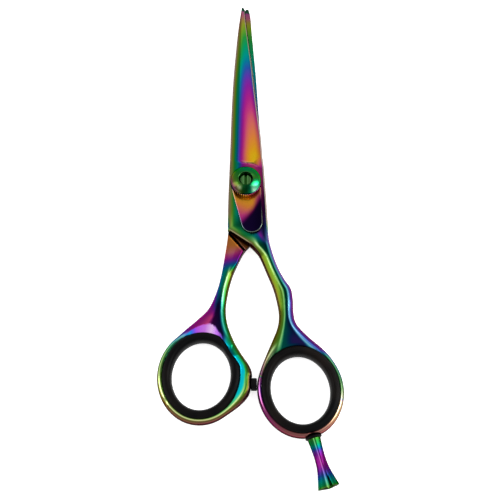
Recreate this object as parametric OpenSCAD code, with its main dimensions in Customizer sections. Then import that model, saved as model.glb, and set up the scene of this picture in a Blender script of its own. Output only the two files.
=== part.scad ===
// Thinning shears of the 6 inch class, closed and lying on their back.
// Millimetres. The origin is on the pivot axis, on the surface the shears lie on.
// +Y runs to the blade tips, +Z up through the tension knob, +X to the finger ring.

/* [Blades] */
// Distance from the pivot axis to the tip of the cutting blade
blade_len = 69.2; // [67:0.1:71]
// Thickness of each half at the pivot
half_t = 2.4; // [2.2:0.1:2.6]
// Thickness of each blade at its tip
tip_t = 1.3; // [1.1:0.1:1.6]
// Thickness left at the cutting edges
edge_t = 0.4; // [0.3:0.05:0.6]
// Number of thinning teeth
teeth = 30; // [20:1:32]
// Width of the slot between two teeth
slot_w = 0.8; // [0.6:0.1:1]
// Length of the slots as a share of the blade's width
slot_share = 0.55; // [0.45:0.01:0.6]

/* [Handles] */
// Half length of the finger hole inside a ring insert
hole_a = 10.7; // [10.2:0.1:11]
// Half width of the finger hole inside a ring insert
hole_b = 9.1; // [8.7:0.1:9.4]
// Width of the visible face of a ring insert
insert_w = 3; // [2.8:0.1:3.2]
// Metal that shows outside the thumb ring's insert
thumb_rim_w = 1.6; // [1.4:0.1:1.7]
// Metal that shows outside the finger ring's insert
finger_rim_w = 1.3; // [1.1:0.05:1.35]
// Total height of a ring insert
insert_h = 5.8; // [5.6:0.1:6.2]

/* [Pivot] */
// Diameter of the pivot screw's round shoulder
shoulder_d = 5; // [4.6:0.1:5.2]
// Diameter of the pivot screw's threaded end
thread_d = 4; // [3.6:0.1:4]
// Diameter of the pivot screw's flat back head
head_d = 9; // [8.6:0.1:9.4]
// Diameter of the tension knob
knob_d = 10.2; // [9.6:0.1:10.6]
// Height of the tension knob's knurled skirt
skirt_h = 2.2; // [1.8:0.1:2.6]
// Height of the tension knob's dome
dome_h = 2.8; // [2.4:0.1:3.2]
// Thickness of the leaf spring
leaf_t = 0.9; // [0.7:0.1:1.1]

/* [Finger rest] */
// Length of the finger rest's trumpet
rest_len = 15.2; // [14:0.1:16]
// Diameter of the trumpet's flared end
rest_end_d = 6.8; // [6:0.1:7.2]
// Thickness of the washer under the finger rest
washer_t = 0.8; // [0.6:0.1:1]

/* [Hidden] */

eps = 0.01;
big = 200;                          // side of the blocks that trim a shape
blade_gap = 0.1;                    // clearance between the two halves
run_gap = 0.05;                     // radial clearance of a running fit
mid_z = insert_h / 2;               // the plane where the two halves meet
top_z = mid_z + half_t;             // front face of the handles
back_z = mid_z - half_t;            // back face of the handles
lip_seat = 0.5;                     // how deep an insert's lip sits in the metal's face
lip_t = lip_seat + back_z;          // thickness of an insert's two lips
lip_hold = 1.1;                     // how far the lips reach over the metal

// Ring centres, the tilt of their long axes from +X, and the direction and the distance of
// the flat side of each insert; the finger ring's insert has none
thumb_ring = [-13.8, -64.1, 82.5, 33, 11.6];
finger_ring = [17.05, -68.5, 101.5, 0, big];

steel = "mediumpurple";
steel_2 = "mediumseagreen";
black = [0.12, 0.12, 0.13];

// ---- Curves ----

function cubic(a, b, c, d, t) = 0.5 * (2 * b + (c - a) * t
    + (2 * a - 5 * b + 4 * c - d) * t * t + (3 * b - a - 3 * c + d) * t * t * t);

// A smooth curve through the points p, with n steps between two of them
function curve(p, n = 5) = concat([
    for (i = [0:len(p) - 2])
        for (k = [0:n - 1])
            cubic(p[max(i - 1, 0)], p[i], p[i + 1], p[min(i + 2, len(p) - 1)], k / n)
], [p[len(p) - 1]]);

// An oval ring outline: half length a along the tilt, half width b across it
function oval(ring, a, b, n = 72) = [
    for (i = [0:n - 1])
        let (t = 360 * i / n, u = a * cos(t), v = b * sin(t), w = ring[2])
            [ring[0] + u * cos(w) - v * sin(w), ring[1] + u * sin(w) + v * cos(w)]
];

// ---- Outlines of the two halves, seen from the knob's side ----

// Spine of the cutting blade from its tip down to the crossing
spine = [
    [-1.05, blade_len], [-1.4, blade_len - 0.2], [-1.65, blade_len - 1], [-2.6, 61],
    [-3.5, 51.5], [-4.4, 39], [-4.9, 27], [-5.2, 15], [-5.5, 4], [-5.8, -6], [-5.85, -15.8]
];
// Straight shoulder of the front half at the crossing, then the shank's inner side
inner_right = [
    [1.9, -21.1], [4.4, -24.6], [6.9, -30.6], [8.8, -35.4], [10, -40.1],
    [10.6, -44.4], [10.1, -48.6], [8.4, -53], [6.2, -58.2], [4.3, -63]
];
// Outer side of the right shank, with the bump that the finger rests on
outer_right = [
    [27.4, -59], [24, -55.3], [19.5, -51.3], [16.1, -47.4], [15.2, -43.5], [15.1, -39.5],
    [14.5, -35.7], [12.4, -32.4], [10.3, -28.2], [8.5, -22.8], [7.5, -18.5], [7.2, -12.5],
    [6.8, -5], [6.4, 1], [6.1, 6.5]
];
// Cutting edge of the front blade from its heel to its tip
edge = [
    [5.6, 11], [5.1, 18.4], [4, 28], [3, 37], [2.1, 46], [0.7, 57.8],
    [-0.25, blade_len - 2.5], [-0.42, blade_len - 0.7], [-0.65, blade_len - 0.1]
];

// Spine of the toothed blade from its tip down to the crossing
back_spine = [
    [0, blade_len - 0.2], [0.75, blade_len - 0.25], [1.05, blade_len - 0.9], [1.6, 65.5],
    [2.1, 58.5], [2.9, 49], [3.6, 40], [4.2, 30], [4.8, 21], [5.3, 13], [5.7, 5], [5.9, -6],
    [5.9, -15.4]
];
inner_left = [
    [2.5, -19.3], [0.7, -21.2], [-0.9, -23.4], [-3.1, -28.2], [-4.7, -33], [-5.8, -38],
    [-6.3, -42.6], [-5.8, -47.2], [-4.3, -51.6], [-2.1, -56], [1, -60.6], [2, -63.4],
    [1.9, -66.7], [1, -70.1], [-1.4, -73], [-5.4, -76.1]
];
outer_left = [
    [-24.2, -55], [-20.3, -50.6], [-15.3, -46.1], [-11.7, -42.3], [-9.2, -36.5],
    [-7.7, -30.5], [-6.7, -24.5], [-5.9, -19], [-5.6, -14]
];
// Comb edge of the back blade from its heel to its tip, hidden behind the front spine
comb = [
    [-5.4, -6], [-5.2, 4], [-4.9, 15], [-4.5, 27], [-3.9, 39], [-2.9, 51.5],
    [-1.6, 61], [-0.5, blade_len - 1.1]
];

front_outline = concat(curve(spine), curve(inner_right), curve(outer_right), curve(edge));
back_outline = concat(curve(back_spine), curve(inner_left), curve(outer_left), curve(comb));

// ---- Trimming ----

// Everything on the side of the plane through a, b, c that the normal (b-a)x(c-a) points to
module beyond(a, b, c) {
    n = cross(b - a, c - a);
    u = n / norm(n);
    translate(a)
        rotate([0, acos(u[2]), atan2(u[1], u[0])])
            translate([-big / 2, -big / 2, 0])
                cube([big, big, big / 2]);
}

// A flat slab of one outline between two heights
module slab(points, low, high) {
    translate([0, 0, low])
        linear_extrude(high - low) polygon(points);
}

// The grinding that thins a blade from the pivot to the tip and down to its edge.
// side is 1 for the front blade and -1 for the back blade.
module ground(side) {
    z_boss = mid_z + side * half_t;
    z_tip = mid_z + side * tip_t;
    z_edge = mid_z + side * edge_t;
    crease_heel = [side * -2.9, 8.3, z_boss];
    crease_tip = [side * -1.5, blade_len, z_tip];
    edge_heel = [side * 5.5, 7.2, z_edge + side * 0.5];
    spine_heel = [side * -5.5, 8.3, z_boss - side * 0.9];
    // main facet, from the crease down to the edge
    intersection() {
        beyond(edge_heel, crease_tip, crease_heel);
        translate([-big / 2, 8, -big / 2]) cube(big);
    }
    // narrow facet along the spine
    intersection() {
        beyond(crease_heel, crease_tip, spine_heel);
        translate([-big / 2, 8, -big / 2]) cube(big);
    }
}

// An insert's outer outline, set in by back. It is an oval with one flat side, which lies
// ring[4] from the centre in the direction ring[3].
function insert_outline(ring, back = 0) =
    let (
        centre = [ring[0], ring[1]],
        away = [cos(ring[3]), sin(ring[3])],
        whole = oval(ring, hole_a + insert_w - back, hole_b + insert_w - back)
    )
    [for (p = whole) p - away * max(0, (p - centre) * away - ring[4] + back)];

// A hole for a ring insert: through opening plus a shallow seat for each lip
module insert_seat(ring) {
    slab(insert_outline(ring, lip_hold), -1, insert_h + 1);
    slab(insert_outline(ring), insert_h - lip_t, insert_h + 1);
    slab(insert_outline(ring), -1, lip_t);
}

module handle_ring(ring, rim_w) {
    a = hole_a + insert_w + rim_w;
    b = hole_b + insert_w + rim_w;
    slab(oval(ring, a, b), back_z, top_z);
}

// Round shaft with two flats, which keeps the screw and the leaf spring from turning
module double_d(low, high, d, flats) {
    intersection() {
        translate([0, 0, low]) cylinder(d = d, h = high - low, $fn = 64);
        translate([-big / 2, -flats / 2, low - 1]) cube([big, flats, high - low + 2]);
    }
}

key_flats = 4.2;                    // distance between the screw's two flats
key_gap = 0.04;                     // clearance of the holes that hold the flats
bush_wall = 0.7;                    // wall of the brass bushing
glide_t = 0.4;                      // depth of the glide washer's seat
glide_gap = 0.08;                   // radial clearance of the glide washer
head_gap = 0.2;                     // radial clearance round the screw's back head
head_bevel = 0.3;                   // bevel of the screw's back head
counterbore_h = 0.55;               // depth of the seat for the screw's back head
tooth_pitch = 1.65;
comb_start = 61.5;                  // Y of the slot nearest the tip

// ---- The two halves ----

module cutting_blade() {
    color(steel)
    difference() {
        union() {
            // front layer: blade, pivot boss and shank
            slab(front_outline, mid_z + blade_gap / 2, top_z);
            // back layer: only the shank, below the toothed half's boss
            difference() {
                slab(front_outline, back_z, mid_z + blade_gap / 2);
                beyond([6.4, -15.4, 0], [1.2, -21.1, 0], [6.4, -15.4, 10]);
            }
            handle_ring(finger_ring, finger_rim_w);
        }
        ground(1);
        insert_seat(finger_ring);
        double_d(mid_z - 1, top_z + 1, shoulder_d + key_gap, key_flats + key_gap);
        rest_stud_hole();
    }
}

module toothed_blade() {
    color(steel_2)
    difference() {
        union() {
            // back layer: blade, pivot boss and shank
            slab(back_outline, back_z, mid_z - blade_gap / 2);
            // front layer: only the shank, behind a sloped step below the front shoulder
            difference() {
                slab(back_outline, mid_z - blade_gap / 2, top_z);
                beyond([-0.3, -21.7, mid_z], [-3.8, -17.7, mid_z], [-5.6, -17.9, top_z]);
                beyond([-5.85, -16.1, 0], [-5.85, -16.1, 10], [1.9, -21.4, 0]);
            }
            handle_ring(thumb_ring, thumb_rim_w);
        }
        ground(-1);
        insert_seat(thumb_ring);
        comb_slots();
        // bore for the bushing, seat for the screw's head and seat for the glide washer
        translate([0, 0, -1])
            cylinder(d = shoulder_d + 2 * bush_wall, h = mid_z + 2, $fn = 64);
        translate([0, 0, back_z - 1])
            cylinder(d = head_d + 2 * head_gap, h = 1 + counterbore_h, $fn = 64);
        translate([0, 0, mid_z - blade_gap / 2 - glide_t])
            cylinder(d = head_d, h = 2, $fn = 64);
        bumper_hole();
    }
}

// Slots between the thinning teeth, cut in from the hidden edge of the back blade
module comb_slots() {
    for (i = [0:teeth - 1]) {
        y = comb_start - i * tooth_pitch;
        left = lookup(y, [for (p = comb) [p[1], p[0]]]);
        right = lookup(y, [for (p = back_spine) [p[1], p[0]]]);
        reach = slot_share * (right - left);
        translate([left - 1, y - slot_w / 2, 0])
            cube([reach + 1, slot_w, insert_h]);
    }
}

// ---- Pivot ----

screw_slot = 0.8;                   // width and depth of the screwdriver slot

module pivot_screw() {
    z_head = back_z + counterbore_h - run_gap;
    thread_top = top_z + leaf_t + skirt_h + 0.9;
    color(steel)
    difference() {
        union() {
            translate([0, 0, head_bevel])
                cylinder(d = head_d, h = z_head - head_bevel, $fn = 64);
            cylinder(d1 = head_d - 2 * head_bevel, d2 = head_d, h = head_bevel, $fn = 64);
            cylinder(d = shoulder_d, h = mid_z, $fn = 64);
            double_d(mid_z - eps, top_z + leaf_t - 0.1, shoulder_d, key_flats);
            cylinder(d = thread_d, h = thread_top, $fn = 64);
        }
        // screwdriver slot in the threaded end
        translate([-screw_slot / 2, -thread_d, thread_top - screw_slot])
            cube([screw_slot, 2 * thread_d, 2]);
    }
}

module pivot_bushing() {
    low = back_z + counterbore_h;
    high = mid_z - blade_gap / 2 - glide_t;
    color("goldenrod")
    translate([0, 0, low])
        difference() {
            cylinder(d = shoulder_d + 2 * bush_wall, h = high - low, $fn = 64);
            translate([0, 0, -1]) cylinder(d = shoulder_d + 2 * run_gap, h = half_t + 2, $fn = 64);
        }
}

module glide_washer() {
    color("ivory")
    translate([0, 0, mid_z - blade_gap / 2 - glide_t])
        difference() {
            cylinder(d = head_d, h = glide_t + blade_gap / 2, $fn = 64);
            translate([0, 0, -1]) cylinder(d = shoulder_d + 2 * glide_gap, h = 3, $fn = 64);
        }
}

module leaf_spring() {
    tongue = [2, -13.7];
    color(steel_2)
    difference() {
        hull() {
            translate([0, 0, top_z]) cylinder(r = 4.9, h = leaf_t, $fn = 48);
            translate([tongue[0], tongue[1], top_z]) cylinder(r = 3.45, h = leaf_t, $fn = 32);
        }
        double_d(top_z - 1, top_z + leaf_t + 1, shoulder_d + key_gap, key_flats + key_gap);
    }
}

module tension_knob() {
    low = top_z + leaf_t + run_gap;
    r = knob_d / 2;
    knurls = 52;
    knurl = 0.3;                    // side of the square notch of one knurl
    color(steel_2)
    translate([0, 0, low])
        difference() {
            union() {
                cylinder(r = r, h = skirt_h, $fn = 64);
                // dome: a quarter oval turned about the axis
                rotate_extrude($fn = 96)
                    polygon(concat([[0, skirt_h]], [
                        for (t = [0:10:80]) [r * cos(t), skirt_h + dome_h * sin(t)]
                    ], [[0, skirt_h + dome_h]]));
            }
            // knurling round the skirt
            for (i = [0:knurls - 1])
                rotate(i * 360 / knurls)
                    translate([r + 0.02, 0, -1])
                        rotate(45)
                            translate([-knurl / 2, -knurl / 2, 0])
                                cube([knurl, knurl, 1 + skirt_h * 0.8]);
            translate([0, 0, -1])
                cylinder(d = thread_d + 2 * run_gap, h = skirt_h + dome_h + 2, $fn = 64);
            translate([0, 0, skirt_h + dome_h - 0.9])
                cylinder(d1 = thread_d + 2 * run_gap, d2 = thread_d + 1.2, h = 1, $fn = 64);
        }
}

// ---- Rings, bumper and finger rest ----

module ring_insert(ring) {
    color(black)
    difference() {
        union() {
            slab(insert_outline(ring, lip_hold), lip_t - eps, insert_h - lip_t + eps);
            slab(insert_outline(ring), insert_h - lip_t, insert_h);
            slab(insert_outline(ring), 0, lip_t);
        }
        slab(oval(ring, hole_a, hole_b), -1, insert_h + 1);
    }
}

module thumb_ring_insert() { ring_insert(thumb_ring); }

module finger_ring_insert() { ring_insert(finger_ring); }

// Bumper between the rings: its stem sits in the thumb ring's nose
bumper_pos = [1.7, -66.7];
bumper_end = 3.56;                  // X of the face that the finger ring closes against
bumper_d = 4;
stem_d = 2.2;
stem_len = 2.4;

module bumper_hole() {
    translate([bumper_pos[0] - stem_len, bumper_pos[1], mid_z])
        rotate([0, 90, 0]) cylinder(d = stem_d, h = 10, $fn = 48);
    // flat that the bumper's head seats on
    translate([bumper_pos[0], bumper_pos[1] - bumper_d / 2 - 0.1, -1])
        cube([5, bumper_d + 0.2, insert_h + 2]);
}

module bumper() {
    reach = bumper_end - bumper_pos[0];
    color(black)
    translate([bumper_pos[0], bumper_pos[1], mid_z])
        rotate([0, 90, 0]) {
            translate([0, 0, -stem_len]) cylinder(d = stem_d, h = stem_len, $fn = 48);
            cylinder(d = bumper_d, h = reach, $fn = 48);
        }
}

// The finger rest screws into the end of the finger ring, along this line
rest_base = [20.7, -82.7];
rest_tilt = 16;                   // from -Y towards +X
stud_d = 2.6;
stud_len = 1.9;
washer_d = 5.2;

module along_rest() {
    translate([rest_base[0], rest_base[1], mid_z])
        rotate([0, 0, rest_tilt])
            rotate([90, 0, 0]) children();
}

module rest_stud_hole() {
    along_rest() translate([0, 0, -8]) cylinder(d = stud_d, h = 12, $fn = 48);
    // flat that the washer seats on
    along_rest() cylinder(d = washer_d + 1, h = 3, $fn = 48);
}

module finger_rest_washer() {
    color(black)
    along_rest()
        difference() {
            cylinder(d = washer_d, h = washer_t, $fn = 48);
            translate([0, 0, -1]) cylinder(d = stud_d, h = washer_t + 2, $fn = 48);
        }
}

module finger_rest() {
    end_r = rest_end_d / 2;
    neck = [
        [2.05, 0], [1.8, 0.2 * rest_len], [1.7, 0.42 * rest_len], [1.95, 0.62 * rest_len],
        [end_r * 0.78, 0.82 * rest_len], [end_r, rest_len]
    ];
    end_bulge = 0.5;
    side = curve(neck, 4);
    color(steel)
    along_rest()
        difference() {
            union() {
                translate([0, 0, washer_t])
                    rotate_extrude($fn = 72)
                        polygon(concat([[0, 0]], side, [[0, rest_len + end_bulge]]));
                translate([0, 0, -stud_len]) cylinder(d = stud_d, h = stud_len + 1.5, $fn = 48);
            }
            // four flutes that deepen towards the end
            for (i = [0:3])
                rotate([0, 0, 90 * i])
                    translate([end_r + 0.2, 0, washer_t + rest_len + 0.2])
                        rotate([0, 172, 0])
                            cylinder(d1 = 1.9, d2 = 0.6, h = rest_len * 0.62, $fn = 48);
        }
}

cutting_blade();
toothed_blade();
pivot_screw();
pivot_bushing();
glide_washer();
leaf_spring();
tension_knob();
thumb_ring_insert();
finger_ring_insert();
bumper();
finger_rest();
finger_rest_washer();
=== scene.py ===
"""Thinning shears with a rainbow titanium finish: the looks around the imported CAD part."""

import math

import bpy
import numpy as np
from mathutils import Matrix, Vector
from mathutils.geometry import delaunay_2d_cdt


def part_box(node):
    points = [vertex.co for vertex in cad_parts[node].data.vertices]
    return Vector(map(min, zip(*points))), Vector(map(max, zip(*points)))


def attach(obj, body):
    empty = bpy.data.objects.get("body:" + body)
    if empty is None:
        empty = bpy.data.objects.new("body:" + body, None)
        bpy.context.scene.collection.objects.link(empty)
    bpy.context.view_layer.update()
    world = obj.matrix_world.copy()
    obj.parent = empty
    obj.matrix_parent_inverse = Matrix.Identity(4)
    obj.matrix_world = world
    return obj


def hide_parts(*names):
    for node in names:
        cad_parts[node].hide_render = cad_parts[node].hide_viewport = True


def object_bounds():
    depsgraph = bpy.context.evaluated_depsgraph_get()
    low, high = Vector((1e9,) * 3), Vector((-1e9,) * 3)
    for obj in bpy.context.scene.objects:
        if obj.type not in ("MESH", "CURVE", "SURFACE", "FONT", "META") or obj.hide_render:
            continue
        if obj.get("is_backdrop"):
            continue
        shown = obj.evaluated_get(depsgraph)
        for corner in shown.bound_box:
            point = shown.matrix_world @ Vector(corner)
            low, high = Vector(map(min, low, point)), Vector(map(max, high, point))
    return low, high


MM = 0.001
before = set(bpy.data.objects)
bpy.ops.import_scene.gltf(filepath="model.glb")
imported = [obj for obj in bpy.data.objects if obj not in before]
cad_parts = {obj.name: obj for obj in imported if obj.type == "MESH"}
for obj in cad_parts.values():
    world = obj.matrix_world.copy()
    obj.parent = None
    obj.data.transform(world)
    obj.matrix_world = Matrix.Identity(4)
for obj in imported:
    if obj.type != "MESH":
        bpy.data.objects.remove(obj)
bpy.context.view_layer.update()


# ---- Places and sizes in millimetres, from the CAD nodes' boxes or listed ----


def box_mm(node):
    """Lowest and highest corner of a CAD node."""
    low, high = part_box(node)
    return np.array(low) / MM, np.array(high) / MM


insert_low, insert_high = box_mm("thumb_ring_insert")
MID = (insert_low[2] + insert_high[2]) / 2
leaf_low, leaf_high = box_mm("leaf_spring")
TOP = leaf_low[2]
HALF = TOP - MID                     # thickness of one half
BACK = MID - HALF                    # the back of the boss
TIP = box_mm("cutting_blade")[1][1]
knob_low, knob_high = box_mm("tension_knob")
GAP = 0.05                           # half of the clearance between the two halves
bumper_low, bumper_high = box_mm("bumper")
bumper_mid = (bumper_low + bumper_high) / 2
NOSE = bumper_low[0] + 2.4           # face of the thumb ring that the bumper's head sits on
TONGUE = np.array([2, -13.7])        # middle of the leaf spring's round tip
TONGUE_R = 3.45
HOLE_A, HOLE_B = 10.7, 9.1           # half length and half width of a finger hole
INSERT_W = 3.0                       # width of an insert's ring
FLAT_ANGLE, FLAT_IN, FLAT_OUT = 33, 9.8, 11.6   # flat side of the thumb's insert
REST_BASE, REST_TILT = np.array([20.7, -82.7]), 16   # the finger rest's seat on its ring


def ring_of(node, tilt):
    """Centre of a ring, from its insert's box, and the tilt of its long axis."""
    low, high = box_mm(node)
    return (low[0] + high[0]) / 2, (low[1] + high[1]) / 2, math.radians(tilt)


THUMB = ring_of("thumb_ring_insert", 82.5)
FINGER = ring_of("finger_ring_insert", 101.5)
THUMB_RIM, FINGER_RIM = 1.6, 1.3     # metal round the inserts

# Outlines of the two halves, seen from the knob's side
SPINE = [
    (-1.05, TIP), (-1.4, TIP - 0.2), (-1.65, TIP - 1), (-2.6, 61), (-3.5, 51.5),
    (-4.4, 39), (-4.9, 27), (-5.2, 15), (-5.5, 4), (-5.8, -6), (-5.85, -15.8),
]
INNER_RIGHT = [
    (1.9, -21.1), (4.4, -24.6), (6.9, -30.6), (8.8, -35.4), (10, -40.1), (10.6, -44.4),
    (10.1, -48.6), (8.4, -53), (6.2, -58.2), (4.3, -63),
]
OUTER_RIGHT = [
    (27.4, -59), (24, -55.3), (19.5, -51.3), (16.1, -47.4), (15.2, -43.5),
    (15.1, -39.5), (14.5, -35.7), (12.4, -32.4), (10.3, -28.2), (8.5, -22.8),
    (7.5, -18.5), (7.2, -12.5), (6.8, -5), (6.4, 1), (6.1, 6.5),
]
EDGE = [
    (5.6, 11), (5.1, 18.4), (4, 28), (3, 37), (2.1, 46), (0.7, 57.8), (-0.25, TIP - 2.5),
    (-0.42, TIP - 0.7), (-0.65, TIP - 0.1),
]
BACK_SPINE = [
    (0, TIP - 0.2), (0.75, TIP - 0.25), (1.05, TIP - 0.9), (1.6, 65.5), (2.1, 58.5), (2.9, 49),
    (3.6, 40), (4.2, 30), (4.8, 21), (5.3, 13), (5.7, 5), (5.9, -6), (5.9, -15.4),
]
INNER_LEFT = [
    (2.5, -19.3), (0.7, -21.2), (-0.9, -23.4), (-3.1, -28.2), (-4.7, -33), (-5.8, -38),
    (-6.3, -42.6), (-5.8, -47.2), (-4.3, -51.6), (-2.1, -56), (1, -60.6), (2, -63.4),
    (1.9, -66.7), (1, -70.1), (-1.4, -73), (-5.4, -76.1),
]
OUTER_LEFT = [
    (-24.2, -55), (-20.3, -50.6), (-15.3, -46.1), (-11.7, -42.3), (-9.2, -36.5),
    (-7.7, -30.5), (-6.7, -24.5), (-5.9, -19), (-5.6, -14),
]
COMB = [
    (-5.4, -6), (-5.2, 4), (-4.9, 15), (-4.5, 27), (-3.9, 39), (-2.9, 51.5), (-1.6, 61),
    (-0.5, TIP - 1.1),
]
TEETH, SLOT_W, SLOT_SHARE, TOOTH_PITCH, COMB_START = 30, 0.8, 0.55, 1.65, 61.5


# ---- Curves and distances ----


def even(line, step):
    """The same line with points about step apart."""
    run = np.concatenate([[0], np.cumsum(np.hypot(*np.diff(line, axis=0).T))])
    s = np.linspace(0, run[-1], max(2, round(run[-1] / step) + 1))
    return np.column_stack([np.interp(s, run, line[:, 0]), np.interp(s, run, line[:, 1])])


def curve(points, step=0.4):
    """A smooth line through the points."""
    p = np.array(points, float)
    ends = np.vstack([p[:1], p, p[-1:]])
    t = np.linspace(0, 1, 12, endpoint=False)[:, None]
    parts = [
        (2 * b + (c - a) * t + (2 * a - 5 * b + 4 * c - d) * t**2
         + (3 * b - a - 3 * c + d) * t**3) / 2
        for a, b, c, d in zip(ends, ends[1:], ends[2:], ends[3:])
    ]
    return even(np.vstack(parts + [p[-1:]]), step)


def oval(ring, grow, count=200):
    """A ring's outline: the oval of its finger hole, grown by grow."""
    t = np.linspace(0, 2 * math.pi, count, endpoint=False)
    u, v = (HOLE_A + grow) * np.cos(t), (HOLE_B + grow) * np.sin(t)
    c, s = math.cos(ring[2]), math.sin(ring[2])
    return np.column_stack([ring[0] + u * c - v * s, ring[1] + u * s + v * c])


def insert_outline(ring, grow, count=200):
    """The outline at grow outside a ring's finger hole, with the flat side of the thumb's insert."""
    loop = oval(ring, grow, count)
    if ring is not THUMB:
        return loop
    away = np.array([math.cos(math.radians(FLAT_ANGLE)), math.sin(math.radians(FLAT_ANGLE))])
    limit = FLAT_IN + (FLAT_OUT - FLAT_IN) * grow / INSERT_W
    return loop - away * np.maximum(0, (loop - ring[:2]) @ away - limit)[:, None]


def circle(radius, count=96, centre=(0, 0)):
    t = np.linspace(0, 2 * math.pi, count, endpoint=False)
    return np.column_stack([centre[0] + radius * np.cos(t), centre[1] + radius * np.sin(t)])


def near(points, line, closed=False):
    """Distance of each point from a line."""
    a = np.asarray(line, float)
    b = np.roll(a, -1, axis=0)
    if not closed:
        a, b = a[:-1], b[:-1]
    d = b - a
    length = np.maximum((d**2).sum(1), 1e-12)
    out = np.empty(len(points))
    for i in range(0, len(points), 1500):
        off = points[i:i + 1500, None, :] - a
        t = np.clip((off * d).sum(2) / length, 0, 1)
        out[i:i + 1500] = np.sqrt(((off - t[..., None] * d) ** 2).sum(2).min(1))
    return out


def inside(points, loop):
    x, y = points.T
    hit = np.zeros(len(points), bool)
    for (ax, ay), (bx, by) in zip(loop, np.roll(loop, -1, axis=0)):
        if ay != by:
            hit ^= ((ay > y) != (by > y)) & (x < (bx - ax) * (y - ay) / (by - ay) + ax)
    return hit


def along(t, *pairs):
    """A value that runs in straight steps through (t, value) pairs."""
    ts, vs = zip(*sorted(pairs))
    return np.interp(t, ts, vs)


def ease(t, start, end):
    """0 before start, 1 after end, smooth in between."""
    u = np.clip((t - start) / (end - start), 0, 1)
    return u * u * (3 - 2 * u)


def bell(t, middle, width):
    """1 at the middle, falling off smoothly on both sides."""
    return np.exp(-((t - middle) / width) ** 2)


def lower(a, b, k=0.06):
    """The lower of two heights, with a small round where they cross."""
    h = np.clip(0.5 + 0.5 * (b - a) / k, 0, 1)
    return b + (a - b) * h - k * h * (1 - h)


def rounded(d, width, depth, fall=0.0):
    """Depth of a rounded edge at distance d from the edge. fall is its slope at its inner ridge."""
    t = 1 - np.clip(d / np.maximum(width, 1e-6), 0, 1)
    return depth * (1 - np.sqrt(np.maximum(1 - t * t, 0))) + fall * t * width


def side_of(xy, a, b):
    """Signed distance from the line a-b, positive on its left."""
    a, b = np.array(a, float), np.array(b, float)
    d = (b - a) / np.hypot(*(b - a))
    return d[0] * (xy[:, 1] - a[1]) - d[1] * (xy[:, 0] - a[0])


# ---- Meshes from plans ----

ROWS = (0.03, 0.1, 0.18, 0.28, 0.38, 0.48, 0.6, 0.74, 0.9, 1.08, 1.28, 1.48, 1.7, 1.92, 2.14,
        2.36, 2.6, 2.85)
HOLE_ROWS = (0.06, 0.16, 0.32, 0.55, 0.85)


def clockwise(loop):
    x, y = loop.T
    return (x * np.roll(y, -1) - np.roll(x, -1) * y).sum() < 0


def plan(outline, holes=(), lines=(), rows=ROWS, hole_rows=HOLE_ROWS, pitch=0.45, plain=None):
    """Points and triangles that fill an outline: rows along its edges, an even grid inside.
    plain marks the outline's points that get no rows."""
    if plain is None:
        plain = np.zeros(len(outline), bool)
    if clockwise(outline):
        outline, plain = outline[::-1], plain[::-1]
    points, edges, total = [], [], 0
    for loop in [outline, *holes]:
        n = len(loop)
        edges += [(total + i, total + (i + 1) % n) for i in range(n)]
        points.append(loop)
        total += n
    for line in lines:
        n = len(line)
        edges += [(total + i, total + i + 1) for i in range(n - 1)]
        points.append(line)
        total += n

    def clear(q, gap):
        """The points that lie further than gap from every line."""
        for line in lines:
            q = q[near(q, line) > gap]
        return q

    def inward_of(loop):
        ahead = np.roll(loop, -1, axis=0) - np.roll(loop, 1, axis=0)
        return np.column_stack([-ahead[:, 1], ahead[:, 0]]) / np.hypot(*ahead.T)[:, None]

    inward = inward_of(outline)
    for d in rows:
        q = (outline + inward * d)[~plain]
        q = q[inside(q, outline)]
        q = q[near(q, outline, True) > d - 0.01]
        for hole in holes:
            q = q[~inside(q, hole)]
            q = q[near(q, hole, True) > 0.1]
        points.append(clear(q, 0.06))
    for hole in holes:
        loop = hole[::-1] if clockwise(hole) else hole
        away = -inward_of(loop)
        for d in hole_rows:
            q = loop + away * d
            q = q[inside(q, outline)]
            q = q[near(q, outline, True) > rows[-1] + 0.1]
            points.append(clear(q, 0.06))
    low, high = outline.min(0), outline.max(0)
    gx, gy = np.meshgrid(
        np.arange(low[0], high[0], pitch), np.arange(low[1], high[1], pitch * 0.866)
    )
    gx[1::2] += pitch / 2
    q = np.column_stack([gx.ravel(), gy.ravel()])
    q = q[inside(q, outline)]
    q = q[near(q, outline, True) > 0.18]
    q = q[near(q, outline[~plain]) > rows[-1] + pitch * 0.45]
    for hole in holes:
        q = q[~inside(q, hole)]
        q = q[near(q, hole, True) > hole_rows[-1] + pitch * 0.45]
    points.append(clear(q, 0.12))
    flat = np.vstack(points)
    verts, _, faces, *_ = delaunay_2d_cdt(
        [Vector(p) for p in flat.tolist()], edges, [], 1, 1e-5, False
    )
    xy = np.array([v[:] for v in verts])
    tris = np.array([f[:] for f in faces])
    middle = xy[tris].mean(1)
    keep = inside(middle, outline)
    for hole in holes:
        keep &= ~inside(middle, hole)
    a, b, c = (xy[tris[:, i]] for i in range(3))
    area = (b[:, 0] - a[:, 0]) * (c[:, 1] - a[:, 1]) - (b[:, 1] - a[:, 1]) * (c[:, 0] - a[:, 0])
    tris[area < 0] = tris[area < 0][:, ::-1]
    tris = tris[keep & (np.abs(area) > 1e-9)]
    used = np.unique(tris)
    renumber = np.zeros(len(xy), int)
    renumber[used] = np.arange(len(used))
    return xy[used], renumber[tris]


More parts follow.
